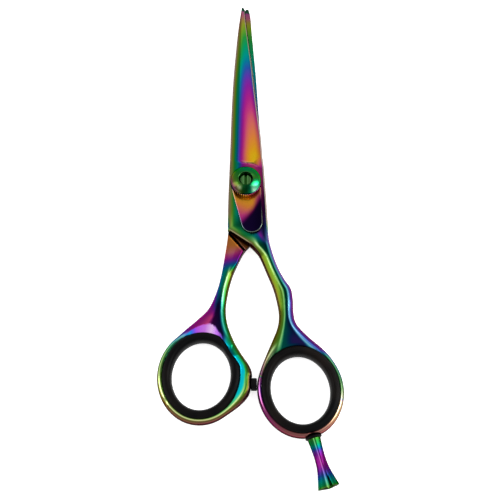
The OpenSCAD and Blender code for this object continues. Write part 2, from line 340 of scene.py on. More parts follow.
def build(name, verts, faces, values, body, material, nodes=(), crease=40):
    """One piece: its mesh, its per-point values and the body it rides on."""
    mesh = bpy.data.meshes.new(name)
    mesh.from_pydata((np.asarray(verts) * MM).tolist(), [], faces)
    mesh.validate()
    for key, value in values.items():
        layer = mesh.attributes.new(key, "FLOAT", "POINT")
        layer.data.foreach_set("value", np.asarray(value, np.float32))
    mesh.shade_smooth()
    mesh.set_sharp_from_angle(angle=math.radians(crease))
    piece = bpy.data.objects.new(name, mesh)
    bpy.context.scene.collection.objects.link(piece)
    mesh.materials.append(material)
    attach(piece, body)
    if nodes:
        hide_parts(*nodes)
    return piece


def between(shape, top, bottom):
    """Points and faces of the solid between two heights over a plan."""
    xy, tris = shape
    n = len(xy)
    verts = np.vstack([np.column_stack([xy, top]), np.column_stack([xy, bottom])])
    ways = np.vstack([tris[:, [0, 1]], tris[:, [1, 2]], tris[:, [2, 0]]])
    key = ways.min(1) * n + ways.max(1)
    _, first, count = np.unique(key, return_index=True, return_counts=True)
    i, j = ways[first[count == 1]].T
    faces = tris.tolist() + (tris[:, ::-1] + n).tolist()
    return verts, faces + np.column_stack([i + n, j + n, j, i]).tolist()


# ---- Materials ----


def colour(r, g, b):
    """A linear colour from three screen values of 0 to 255."""
    return tuple(
        v / 255 / 12.92 if v <= 10 else ((v / 255 + 0.055) / 1.055) ** 2.4 for v in (r, g, b)
    ) + (1,)


# Colours of the oxide film as it gets thicker
FILM = [
    (0.00, (222, 186, 24)), (0.05, (225, 160, 30)), (0.10, (226, 134, 60)),
    (0.16, (216, 104, 100)), (0.22, (200, 62, 128)), (0.28, (176, 36, 140)),
    (0.34, (140, 34, 160)), (0.40, (96, 56, 176)), (0.46, (40, 84, 172)),
    (0.51, (10, 120, 160)), (0.56, (0, 150, 140)), (0.61, (10, 156, 98)),
    (0.66, (40, 150, 60)), (0.71, (100, 160, 44)), (0.76, (140, 156, 40)),
    (0.81, (156, 134, 60)), (0.86, (170, 90, 110)), (0.91, (150, 60, 130)),
    (0.96, (40, 84, 60)), (1.00, (20, 64, 44)),
]


class Nodes:
    """A short way to write a material's nodes."""

    def __init__(self, name):
        self.material = bpy.data.materials.new(name)
        self.material.use_nodes = True
        self.tree = self.material.node_tree
        self.shader = self.tree.nodes["Principled BSDF"]

    def add(self, kind, **settings):
        node = self.tree.nodes.new(kind)
        for key, value in settings.items():
            setattr(node, key, value)
        return node

    def link(self, source, target):
        self.tree.links.new(source, target)

    def noise(self, scale, detail=3.0, stretch=(1, 1, 1)):
        """Noise in the object's own space, in metres."""
        place = self.add("ShaderNodeTexCoord")
        squeeze = self.add("ShaderNodeMapping")
        squeeze.inputs["Scale"].default_value = stretch
        noise = self.add("ShaderNodeTexNoise")
        noise.inputs["Scale"].default_value = scale
        noise.inputs["Detail"].default_value = detail
        self.link(place.outputs["Object"], squeeze.inputs["Vector"])
        self.link(squeeze.outputs["Vector"], noise.inputs["Vector"])
        return noise.outputs["Fac"]

    def spread(self, value, low, high):
        """The value 0 to 1 moved to low to high."""
        node = self.add("ShaderNodeMapRange")
        node.inputs["To Min"].default_value = low
        node.inputs["To Max"].default_value = high
        self.link(value, node.inputs["Value"])
        return node.outputs["Result"]

    def bump(self, value, distance, strength=1.0):
        node = self.add("ShaderNodeBump")
        node.inputs["Distance"].default_value = distance
        node.inputs["Strength"].default_value = strength
        self.link(value, node.inputs["Height"])
        self.link(node.outputs["Normal"], self.shader.inputs["Normal"])


def film_metal(name):
    """Polished steel under an oxide film: film picks the oxide's colour; shade and the third value
    paint shade and highlights into it.
    """
    m = Nodes(name)
    film, shade, pale_highlight = (
        m.add("ShaderNodeAttribute", attribute_name=key) for key in ("film", "shade", "pale_highlight")
    )
    wobble = m.spread(m.noise(160, 2), -0.012, 0.012)
    add = m.add("ShaderNodeMath", operation="ADD")
    m.link(film.outputs["Fac"], add.inputs[0])
    m.link(wobble, add.inputs[1])
    ramp = m.add("ShaderNodeValToRGB")
    stops = ramp.color_ramp.elements
    stops[0].position, stops[0].color = FILM[0][0], colour(*FILM[0][1])
    stops[1].position, stops[1].color = FILM[-1][0], colour(*FILM[-1][1])
    for position, screen in FILM[1:-1]:
        stops.new(position).color = colour(*screen)
    m.link(add.outputs[0], ramp.inputs["Fac"])
    # painted highlight: the colour whitened towards a cream white
    painted_highlight_mix = m.add("ShaderNodeMix", data_type="RGBA")
    painted_highlight_mix.inputs["B"].default_value = colour(238, 230, 222)
    m.link(pale_highlight.outputs["Fac"], painted_highlight_mix.inputs["Factor"])
    m.link(ramp.outputs["Color"], painted_highlight_mix.inputs["A"])
    # painted light and shade: the colour scaled below 1 for shade and above 1 for highlights
    light_and_shade_scale = m.add("ShaderNodeVectorMath", operation="SCALE")
    m.link(painted_highlight_mix.outputs["Result"], light_and_shade_scale.inputs["Vector"])
    m.link(shade.outputs["Fac"], light_and_shade_scale.inputs["Scale"])
    m.link(light_and_shade_scale.outputs["Vector"], m.shader.inputs["Base Color"])
    m.shader.inputs["Metallic"].default_value = 1.0
    m.shader.inputs["Specular Tint"].default_value = (0.25, 0.22, 0.22, 1)
    m.link(m.spread(m.noise(900, 3), 0.17, 0.24), m.shader.inputs["Roughness"])
    m.bump(m.noise(2600, 2, (1, 0.12, 1)), 0.000004, 0.35)
    return m.material


def rubber(name):
    m = Nodes(name)
    # random brownish patches on the black: a painted faint sheen
    sheen_patches = m.add("ShaderNodeValToRGB")
    sheen_patches.color_ramp.elements[0].color = colour(3, 3, 4)
    sheen_patches.color_ramp.elements[1].color = colour(26, 20, 16)
    sheen_patches.color_ramp.elements[0].position = 0.45
    m.link(m.noise(90, 3), sheen_patches.inputs["Fac"])
    m.link(sheen_patches.outputs["Color"], m.shader.inputs["Base Color"])
    m.link(m.spread(m.noise(500, 3), 0.3, 0.5), m.shader.inputs["Roughness"])
    m.shader.inputs["Specular IOR Level"].default_value = 0.05
    m.bump(m.noise(1800, 4), 0.00002, 0.4)
    return m.material


def brass(name):
    m = Nodes(name)
    m.shader.inputs["Base Color"].default_value = colour(196, 156, 84)
    m.shader.inputs["Metallic"].default_value = 1.0
    m.link(m.spread(m.noise(700, 3), 0.25, 0.4), m.shader.inputs["Roughness"])
    m.bump(m.noise(2500, 2, (1, 1, 0.1)), 0.000005, 0.5)
    return m.material


def nylon(name):
    m = Nodes(name)
    m.shader.inputs["Base Color"].default_value = colour(226, 224, 214)
    m.link(m.spread(m.noise(600, 2), 0.4, 0.55), m.shader.inputs["Roughness"])
    m.shader.inputs["Subsurface Weight"].default_value = 0.1
    m.shader.inputs["Subsurface Radius"].default_value = (0.001, 0.001, 0.001)
    m.bump(m.noise(1500, 2), 0.00001, 0.3)
    return m.material


METAL = film_metal("rainbow_metal")
RUBBER = rubber("black_rubber_soft")
BRASS = brass("bushing_brass")
NYLON = nylon("washer_nylon")


# ---- The two halves ----


def with_ring(inner, outer, rim, turn):
    """A line down inner and round the ring's rim, and the rest of the way up outer.
    turn is 1 to go anticlockwise round the rim, or -1 for clockwise."""
    inner, outer = inner[~inside(inner, rim)], outer[~inside(outer, rim)]
    n = len(rim)
    start = int(((rim - inner[-1]) ** 2).sum(1).argmin())
    end = int(((rim - outer[0]) ** 2).sum(1).argmin())
    count = (turn * (end - start)) % n
    around = rim[[(start + turn * k) % n for k in range(1, count)]]
    return inner, around, outer


def eased(loop, spots, reach=2.5, rounds=25):
    """The loop with its corners near the spots smoothed away."""
    loop = loop.copy()
    soft = np.zeros(len(loop), bool)
    for spot in spots:
        soft |= np.hypot(*(loop - spot).T) < reach
    for _ in range(rounds):
        middle = (np.roll(loop, 1, axis=0) + np.roll(loop, -1, axis=0)) / 2
        loop[soft] = (loop[soft] + middle[soft]) / 2
    return loop


# Creases of a blade, as seen on the front one: X and height above the middle, by Y
def crease_x(y):
    return along(y, (-15.8, -5.8), (-8, -4.6), (8.3, -2.9), (TIP, -1.5))


def crease_h(y):
    return along(y, (8.3, HALF), (TIP, 1.3))


def ramp_line(x, y):
    """How far a point lies beyond the crosswise crease above the knob."""
    return y - 8.3 + 0.141 * (x + 2.9)


def blade_face(x, y):
    """Height of a blade's ground outer face above the middle plane."""
    over = x - crease_x(y)
    main = crease_h(y) - 0.18 * over
    ramp = HALF - 1.25 * ramp_line(x, y)
    main = -lower(-main, -np.minimum(ramp, HALF + 1), 0.12)
    spine = crease_h(y) + 0.35 * over
    return lower(lower(main, np.full_like(x, HALF), 0.05), spine, 0.1)


def parallels(a, b, offsets):
    """Lines beside the line a-b, at these distances on its left."""
    a, b = np.array(a, float), np.array(b, float)
    left = np.array([a[1] - b[1], b[0] - a[0]]) / np.hypot(*(b - a))
    return [even(np.array([a, b]) + left * off, 0.3) for off in offsets]


def rim_share(dl, dr, dh):
    """0 at a ring's outer edge, 1 at its insert."""
    outer = np.minimum(dl, dr)
    return outer / np.maximum(outer + dh, 0.01)


def banded(across, along_it, rows):
    """Film, shade and whitening at each point; shade and whitening are painted light and shade.
    Each row is (place, positions, films, shades, pales): the bands' positions across the metal and
    their values, which run smoothly to the next row's. A row without pales has none."""
    rows = sorted(rows, key=lambda row: row[0])
    rows = [row if len(row) == 5 else (*row, [0] * len(row[1])) for row in rows]
    places = np.array([row[0] for row in rows], float)
    cols = [np.array([row[k] for row in rows], float) for k in (1, 2, 3, 4)]
    k = np.clip(np.searchsorted(places, along_it) - 1, 0, len(rows) - 2)
    t = np.clip((along_it - places[k]) / (places[k + 1] - places[k]), 0, 1)[:, None]
    at, film, shade, pale_highlight = (c[k] * (1 - t) + c[k + 1] * t for c in cols)
    j = np.clip((across[:, None] > at).sum(1) - 1, 0, at.shape[1] - 2)[:, None]
    a, b = np.take_along_axis(at, j, 1), np.take_along_axis(at, j + 1, 1)
    w = np.clip((across[:, None] - a) / np.maximum(b - a, 1e-6), 0, 1)
    return np.array([
        (np.take_along_axis(v, j, 1) * (1 - w) + np.take_along_axis(v, j + 1, 1) * w)[:, 0]
        for v in (film, shade, pale_highlight)
    ])


SHADE_UNIT = 0.46                    # a shade of 1 lets this share of the film's colour through


def painted(film, shade, pale_highlight):
    """The three values of every point, as the piece's mesh keeps them; the second and third are
    painted shade and painted highlights.
    """
    return {"film": film, "shade": np.asarray(shade) * SHADE_UNIT, "pale_highlight": pale_highlight}


def moved(values, share, film, shade, pale_highlight):
    """The values moved by their share towards a film and a painted shade and highlight."""
    goal = np.array([film + 0 * share, shade + 0 * share, pale_highlight + 0 * share])
    return values + (goal - values) * share


def around_ring(xy, ring):
    """Angle in degrees round a ring's centre, from +X."""
    return np.degrees(np.arctan2(xy[:, 1] - ring[1], xy[:, 0] - ring[0]))


def wrapped(rows):
    """Rows by angle from -180 to 180, with the first and last ones repeated beyond the ends."""
    rows = sorted(rows, key=lambda row: row[0])
    first, last = rows[0], rows[-1]
    return [(last[0] - 360, *last[1:]), *rows, (first[0] + 360, *first[1:])]


# Colour bands of each part: place, positions across, films, shades and, where not 0, pales; the
# shades and pales are painted shade and painted highlights
RIM_AT = (0, .15, .3, .45, .6, .8, 1)
SIDE_AT = (0, .2, .4, .55, .7, .85, 1)
BOSS_BANDS = [
    # brown edge, olive, green, teal, blue, purple, centre, right of centre, dark, dark, edge; by Y;
    # the dark bands are painted dark reflection and shades above 1 painted highlights
    (8, (0, .06, .13, .21, .29, .37, .5, .7, .85, .93, 1),
     (.83, .79, .68, .58, .48, .33, .24, .2, .29, .27, .25),
     (.8, .85, .95, .95, .9, .95, 1, .95, .9, .9, .8), (.3, .1, 0, 0, 0, 0, 0, 0, 0, 0, .25)),
    (0, (0, .06, .13, .21, .29, .37, .5, .7, .88, .94, 1),
     (.83, .78, .68, .58, .5, .4, .3, .2, .2, .24, .25),
     (.8, .85, .95, .95, .9, .8, .8, .8, .55, .4, .6), (.3, .1, 0, 0, 0, 0, 0, 0, 0, 0, .15)),
    (-5, (0, .06, .11, .17, .24, .37, .5, .7, .86, .94, 1),
     (.83, .78, .7, .61, .55, .4, .3, .24, .26, .3, .3),
     (.8, .9, 1, 1.1, 1.1, .6, .6, .6, .3, .1, .5), (.3, .1, 0, 0, 0, 0, 0, 0, 0, 0, .2)),
    (-10, (0, .05, .1, .16, .23, .32, .5, .7, .86, .94, 1),
     (.84, .79, .73, .64, .57, .52, .4, .36, .33, .36, .34),
     (.7, .9, 1.1, 1.2, 1.1, .3, .3, .2, .1, .1, .6), (.3, .1, 0, 0, 0, 0, 0, 0, 0, 0, .2)),
    (-14.6, (0, .05, .1, .15, .21, .32, .45, .62, .84, .93, 1),
     (.4, .75, .72, .66, .62, .6, .58, .42, .44, .46, .34),
     (.7, 1, 2, .9, .45, .22, .2, .12, .06, .5, .9), (0, .1, .05, 0, 0, 0, 0, 0, 0, 0, .1)),
    (-18, (0, .06, .14, .22, .3, .42, .5, .62, .78, .88, 1),
     (.7, .68, .65, .62, .6, .54, .5, .32, .42, .5, .3),
     (.9, .9, .9, .9, .8, .9, 1, 1.3, .1, 1, 1.3), (.3, 0, 0, 0, 0, 0, 0, 0, 0, .1, .2)),
    (-21.5, (0, .06, .12, .18, .25, .36, .5, .7, .78, .88, 1),
     (.84, .76, .73, .72, .72, .6, .56, .5, .53, .46, .3),
     (.7, .9, 1.2, 2.4, 4.2, .4, .1, .1, 1.4, 1.2, 1.3), (.3, .1, .1, .2, .3, 0, 0, 0, .1, .1, .2)),
]
RIGHT_SHANK = [
    # brown edge, brown, olive, lime, ridge, dark, dark, cyan, ridge, purple, edge; by Y; the ridges
    # are painted highlights and the dark bands painted dark reflection
    (-21.5, (0, .06, .12, .18, .25, .36, .7, .76, .82, .9, 1),
     (.84, .8, .74, .72, .72, .64, .5, .53, .54, .44, .3),
     (.5, .7, 1, 2.4, 4.4, .3, .1, .7, 2.2, 1.2, 1.2), (.2, .1, 0, .1, .3, 0, 0, 0, .1, .1, .2)),
    (-25, (0, .08, .2, .38, .48, .57, .64, .69, .75, .84, 1),
     (.86, .81, .75, .73, .72, .62, .6, .58, .55, .44, .28),
     (.5, .5, .6, .9, 4.2, .2, .1, .8, 2.4, 1.2, 1.2), (.1, 0, 0, 0, .25, 0, 0, 0, .1, .1, .2)),
    (-31, (0, .08, .2, .38, .48, .58, .64, .69, .75, .84, 1),
     (.86, .81, .75, .73, .72, .62, .6, .58, .54, .44, .28),
     (.5, .5, .6, .9, 4, .2, .1, .8, 2.6, 1.2, 1.2), (.1, 0, 0, 0, .2, 0, 0, 0, .1, .1, .2)),
    (-38, (0, .08, .24, .38, .45, .52, .62, .68, .74, .84, 1),
     (.84, .8, .73, .71, .7, .62, .58, .56, .53, .42, .25),
     (.5, .6, .8, 1.1, 3.8, .2, .08, .7, 3.8, .9, .6), (.1, 0, 0, 0, .15, 0, 0, 0, .15, 0, .1)),
    (-45, (0, .08, .22, .31, .37, .44, .56, .6, .65, .8, 1),
     (.84, .8, .73, .7, .69, .6, .46, .5, .53, .42, .25),
     (.5, .6, .8, 1.1, 3.6, .3, .1, .7, 4, .9, .6), (.1, 0, 0, 0, .15, 0, 0, 0, .15, 0, .1)),
    (-50, (0, .07, .17, .23, .27, .34, .68, .72, .76, .87, 1),
     (.83, .78, .72, .69, .68, .58, .44, .5, .53, .42, .25),
     (.5, .6, .8, 1.1, 3.4, .4, .16, .7, 3.8, .9, .6), (.1, 0, 0, 0, .15, 0, 0, 0, .15, 0, .1)),
    (-57, (0, .05, .12, .17, .21, .28, .79, .83, .87, .93, 1),
     (.83, .78, .72, .69, .68, .58, .42, .52, .54, .42, .25),
     (.5, .6, .8, 1.1, 3.2, .4, .2, .6, 3.4, .9, .6), (.1, 0, 0, 0, .15, 0, 0, 0, .1, 0, .1)),
]
FINGER_BANDS = [
    # outer edge, outer side, outer side, ridge, ridge, inner side, insert; by angle; the ridges carry
    # painted highlights and the insert side painted shade
    (180, (0, .2, .35, .5, .65, .8, 1), (.33, .33, .32, .32, .34, .38, .44),
     (.45, .8, 1, 4, .9, .3, .1), (0, 0, .1, .2, .1, 0, 0)),
    (164, RIM_AT, (.3, .3, .29, .28, .28, .28, .3), (.5, .8, 1, 3.8, .8, .5, .1),
     (0, 0, .15, .2, .15, .15, 0)),
    (161, RIM_AT, (.92,) * 7, (.5, .8, 1, 3.8, .8, .5, .1),
     (0, 0, .15, .2, .15, .15, 0)),
    (148, RIM_AT, (.84, .85, .86, .86, .84, .8, .6), (.55, .7, 1, 3.4, .8, .7, .2),
     (0, .1, .25, .25, .25, .25, 0)),
    (132, RIM_AT, (.84, .8, .77, .75, .73, .7, .6), (.6, .7, .9, 4, .8, .7, .2),
     (0, 0, .25, .3, .25, .3, 0)),
    (115, (0, .15, .3, .42, .55, .7, 1), (.82, .76, .71, .69, .66, .62, .6),
     (.6, .75, .9, 4, .6, .3, .25), (0, 0, .1, .2, .05, 0, 0)),
    (62, (0, .15, .35, .5, .65, .8, 1), (.25, .34, .48, .53, .55, .57, .56),
     (.9, .9, .9, 3.4, .6, .3, .5), (.1, 0, 0, .15, 0, 0, 0)),
    (40, SIDE_AT, (.28, .42, .58, .64, .66, .64, .6), (.8, .8, .9, 3.4, .8, .3, .2),
     (0, 0, .1, .2, .1, 0, 0)),
    (20, SIDE_AT, (.46, .5, .6, .66, .66, .64, .62), (.6, .7, .9, 2, .7, .3, .2),
     (0, 0, .1, .2, .1, 0, 0)),
    (0, SIDE_AT, (.72, .71, .69, .68, .68, .66, .62), (.6, .65, .75, .85, .6, .3, .15),
     (.1, .1, .15, .3, .15, 0, 0)),
    (-13, SIDE_AT, (.76, .76, .76, .76, .76, .76, .7), (.6, .7, .8, .9, .9, .7, .3),
     (.25, .3, .5, .65, .65, .4, .15)),
    (-17, SIDE_AT, (.04, .03, .02, .02, .02, .02, .05), (.6, .7, .85, 1, 1, .8, .3),
     (.4, .4, .5, .65, .65, .5, .15)),
    (-38, SIDE_AT, (.12, .08, .06, .05, .05, .06, .1), (.6, .8, .9, 3.4, 4, 1, .3),
     (.25, .25, .3, .3, .35, .5, .15)),
    (-55, SIDE_AT, (.17, .15, .13, .12, .12, .12, .15), (.6, .7, .9, 1, 2, .8, .25),
     (.15, .15, .25, .4, .25, .3, .1)),
    (-80, SIDE_AT, (.18, .17, .16, .15, .15, .15, .17), (.4, .5, .6, .7, .6, .4, .15),
     (.15, .15, .15, .25, .25, .15, 0)),
    (-110, SIDE_AT, (.2, .18, .17, .17, .17, .17, .2), (.35, .45, .55, .6, .5, .3, .1),
     (.1, .1, .1, .15, .15, .1, 0)),
    (-145, (0, .2, .35, .5, .65, .8, 1), (.3, .28, .27, .26, .26, .27, .3),
     (.35, .5, .6, .75, .6, .3, .1), (0, 0, .1, .15, .1, 0, 0)),
]


def front_half():
    """Cutting blade, boss, bent shank and finger ring."""
    rim = oval(FINGER, INSERT_W + FINGER_RIM, 230)
    spine, inner, outer, edge = (curve(p) for p in (SPINE, INNER_RIGHT, OUTER_RIGHT, EDGE))
    inner, around, outer = with_ring(inner, outer, rim, 1)
    loop = np.vstack([spine, even(np.vstack([spine[-1], inner[0]]), 0.4)[1:-1], inner, around,
                      outer, edge])
    loop = seated(eased(loop, [inner[-1], outer[0]]))
    cut = int(((loop - REST_BASE) ** 2).sum(1).argmin())
    left_line, right_line = loop[:cut + 1], loop[cut:]
    hole = oval(FINGER, INSERT_W + 0.02)
    # the back half's shoulder fits below a step that crosses the front half's back
    step = (9, -12.55), (-1.4, -23.95)
    shape = plan(loop, [hole, circle(2.56, 48)], parallels(*step, (-0.03, 0.03)))
    xy = shape[0]
    x, y = xy.T
    dl, dr, dh = near(xy, left_line), near(xy, right_line), near(xy, hole, True)
    angle = around_ring(xy, FINGER)
    # the web between shank and ring counts as shank, the rest of the ring by its angle
    web = np.minimum(ease(angle, 50, 66), 1 - ease(angle, 112, 126))
    in_ring = (1 - web) * (1 - ease(y, -56, -52))
    wide_l = along(y, (-60, 1.5), (-50, 1.7), (-45, 1.9), (-38, 2.3), (-25, 2.6), (-20, 0.5),
                   (-17, 0.3))
    deep_l = along(y, (-24, 1.5), (-20, 0.4), (-17, 0.25))
    wide_r = along(y, (-60, 1.5), (-50, 1.9), (-25, 1.6), (-20, 1.2), (-16, 0.3))
    deep_r = along(y, (-24, 1.5), (-20, 0.9), (-16, 0.25))
    fall = along(y, (-24, 0.16), (-19, 0))
    edges = rounded(dl, wide_l, deep_l, fall) + rounded(dr, wide_r, deep_r, fall)
    edges = edges + rounded(dh, 1.4, 0.35) * in_ring
    bevel = along(y, (-22, 0), (-16, 0.5), (5, 0.6), (10, 1.9)) * np.maximum(0.42 - dr, 0)
    top = MID + blade_face(x, y) - bevel - edges
    bottom = BACK + edges
    front_only = side_of(xy, *step) < 0
    bottom = np.where(front_only, MID + GAP, bottom)
    top = np.maximum(top, bottom + 0.05)
    values = front_film(xy, dl, dr, dh, angle, in_ring)
    verts, faces = between(shape, top, bottom)
    return build("cutting_half_metal", verts, faces, painted(*np.hstack([values, values])),
                 "finger_half", METAL, ["cutting_blade"])


def front_film(xy, dl, dr, dh, angle, in_ring):
    """Film, shade and pale of the front half. dl, dr and dh are distances from its left edge, its
    right edge and the insert's hole. in_ring is 1 in the finger ring, and angle goes round it."""
    x, y = xy.T
    # blade: the film's colour along its middle, by Y, and across it from the spine to the edge
    u = dl / (dl + dr)
    centre = along(y, (8, 0.0), (11.5, 0.02), (14.3, 0.06), (18, 0.1), (22, 0.14),
                   (28, 0.21), (34.5, 0.3), (39.5, 0.36), (43.5, 0.44), (48.5, 0.54), (53, 0.60),
                   (57, 0.66), (62, 0.75), (65.5, 0.86), (TIP - 1.8, 0.9))
    share = along(u, (0, 1.03), (0.1, 0.88), (0.2, 0.62), (0.33, 0.36), (0.42, 0.21),
                  (0.52, 0.09), (0.62, 0.02), (0.72, 0))
    film = centre + (0.84 - centre) * share + 0.1 * ease(u, 0.78, 1) * (centre < 0.4)
    # painted shade towards the cutting edge and in a band left of the middle, and a painted highlight
    # along the spine's edge
    shade = 1 - 0.3 * ease(u, 0.75, 0.95)
    shade = shade - 0.2 * bell(u, 0.34, 0.12) * (1 - ease(y, 25, 45))
    pale_highlight = 0.35 * (1 - ease(dl, 0.2, 0.8)) * ease(y, 62, 50)
    blade = np.array([film, shade, pale_highlight])
    boss = banded(u, y, BOSS_BANDS)
    # painted shadow: a dark crescent under the leaf spring's tip
    tip = xy - TONGUE
    tip_shadow = (1 - ease(np.hypot(*tip.T), 3.85, 4.1)) * ease(-tip[:, 1], 2.3, 2.9)
    boss[1] = boss[1] * (1 - 0.92 * tip_shadow * ease(x, 1.2, 1.8))
    # painted highlight: a light line along the lower left edge, with a darker brown band behind it
    low_left = (1 - ease(y, -16.4, -15.4)) * ease(y, -24, -21)
    boss = moved(boss, low_left * (1 - ease(dl, 0.5, 0.68)), 0.84, 0.7, 0.1)
    boss = moved(boss, low_left * bell(dl, 0.24, 0.11), 0.74, 2.1, 0.3)
    shank = banded(u, y, RIGHT_SHANK)
    ring = banded(rim_share(dl, dr, dh), angle, wrapped(FINGER_BANDS))
    up = ramp_line(x, y)
    values = boss + (blade - boss) * ease(up, -0.2, 0.45)
    # painted highlight along the crease above the knob
    crease_highlight = bell(up, 0.35, 0.35) * ease(u, 0.3, 0.5)
    values[1] = values[1] * (1 + 0.5 * crease_highlight)
    values[2] = np.maximum(values[2], 0.4 * crease_highlight)
    # painted highlight along the bevel of the cutting edge, down to the shank
    bevel_highlight = (1 - ease(dr, 0.44, 0.56)) * (y < TIP - 2) * ease(y, -19, -12)
    values = moved(values, bevel_highlight, 0.84, along(y, (-10, 1.5), (40, 1.3)), 0.5)
    values[0] = np.where(y > TIP - 1.8, 0.97, values[0])
    # navy film above the finger's insert, darkened by painted shade in the hollow
    navy_and_shade = ease(angle, 66, 76) * (1 - ease(angle, 96, 108)) * (1 - ease(y, -53, -50))
    navy_and_shade = navy_and_shade * ease(dh, 0.5, 1) * ease(dl, 2.2, 3.2) * ease(dr, 2.2, 3.2)
    shank = moved(shank, navy_and_shade, 0.42, 0.3, shank[2])
    values = values + (shank - values) * (1 - ease(y, -21.5, -19.5))
    values = values + (ring - values) * in_ring
    # painted shade along the edge of the insert's hole
    values[1] = values[1] * (1 - 0.75 * (1 - ease(dh, 0.06, 0.3)))
    return values


REST_AXIS = np.array([math.sin(math.radians(REST_TILT)), -math.cos(math.radians(REST_TILT))])
REST_SIDE = np.array([-REST_AXIS[1], REST_AXIS[0]])


def seated(loop):
    """The loop with its part under the finger rest's washer made flat."""
    off = loop - REST_BASE
    over = off @ REST_AXIS
    hit = (over > 0) & (np.abs(off @ REST_SIDE) < 3.2)
    loop = loop.copy()
    loop[hit] -= over[hit, None] * REST_AXIS
    return loop


def on_seat(verts):
    """Points turned about Z and standing at Z = 0, put on the finger rest's seat."""
    return placed(verts, (*REST_BASE, MID), (*REST_AXIS, 0), (*REST_SIDE, 0))


LEFT_AT = (0, .1, .3, .42, .5, .55, .6, .7, .8, .92, 1)
UNDER_AT = (0, .2, .4, .54, .67, .82, 1)
LEFT_SHANK = [
    # outer edge, purple, blue, dark, dark, ridge, ridge, green, green, olive, brown edge; by Y; the
    # ridges are painted highlights and the dark bands painted dark reflection
    (-19, LEFT_AT, (.1, .09, .08, .08, .07, .07, .06, .06, .05, .05, .08),
     (.7, .8, .85, .85, .85, .85, .8, .75, .6, .5, .4)),
    (-21.5, LEFT_AT, (.12, .11, .1, .1, .1, .1, .1, .1, .12, .14, .18),
     (.75, .85, .9, .9, .9, .9, .85, .75, .6, .5, .4)),
    (-24, LEFT_AT, (.16, .16, .17, .18, .19, .2, .21, .22, .24, .26, .3),
     (1, 1, 1.1, 1.1, 1.1, 1.1, 1, 1, .9, .8, .6), (0, 0, .1, .1, .1, .1, 0, 0, 0, 0, 0)),
    (-26.5, LEFT_AT, (.3, .31, .33, .34, .35, .36, .36, .37, .38, .38, .36),
     (1, 1.1, 1.1, 1.1, 1.1, 1.1, 1.1, 1, .9, .8, .6)),
    (-28.4, LEFT_AT, (.44, .45, .47, .48, .49, .5, .51, .52, .53, .56, .6),
     (.85, .9, .95, .95, .95, .95, .95, .9, .85, .7, .6)),
    (-30.5, (0, .1, .3, .42, .48, .53, .58, .68, .8, .92, 1),
     (.5, .54, .58, .6, .62, .66, .7, .72, .75, .79, .84),
     (.8, .9, .9, .85, .85, 1, 4, .9, .85, .7, .6), (0, 0, 0, 0, 0, .1, .2, .1, 0, 0, .1)),
    (-36, (0, .08, .2, .36, .45, .5, .56, .66, .8, .92, 1),
     (.34, .44, .54, .58, .6, .62, .65, .66, .68, .77, .84),
     (.9, .9, .85, .7, .4, .9, 4, .85, .6, .6, .6), (0, 0, 0, 0, 0, .15, .25, .1, 0, 0, .1)),
    (-41.5, (0, .2, .32, .43, .6, .67, .74, .82, .9, .96, 1),
     (.3, .34, .46, .45, .42, .54, .58, .62, .66, .78, .84),
     (.9, .9, .6, .1, .1, .8, 3.2, 1, .8, .6, .5), (0, 0, 0, 0, 0, 0, .1, 0, 0, 0, .1)),
    (-45.5, (0, .2, .38, .46, .7, .75, .8, .87, .93, .97, 1),
     (.3, .27, .21, .34, .42, .54, .57, .61, .66, .78, .84),
     (.9, 1.1, 1.6, .15, .1, .8, 3.2, 1, .8, .6, .5), (0, 0, 0, 0, 0, 0, .05, 0, 0, 0, .1)),
    (-52, (0, .12, .3, .5, .82, .85, .89, .93, .96, .98, 1),
     (.34, .3, .24, .34, .44, .54, .57, .61, .66, .76, .84),
     (.9, 1.1, 1.4, .3, .1, .8, 3, 1, .8, .6, .5), (0, 0, 0, 0, 0, 0, .05, 0, 0, 0, .1)),
]
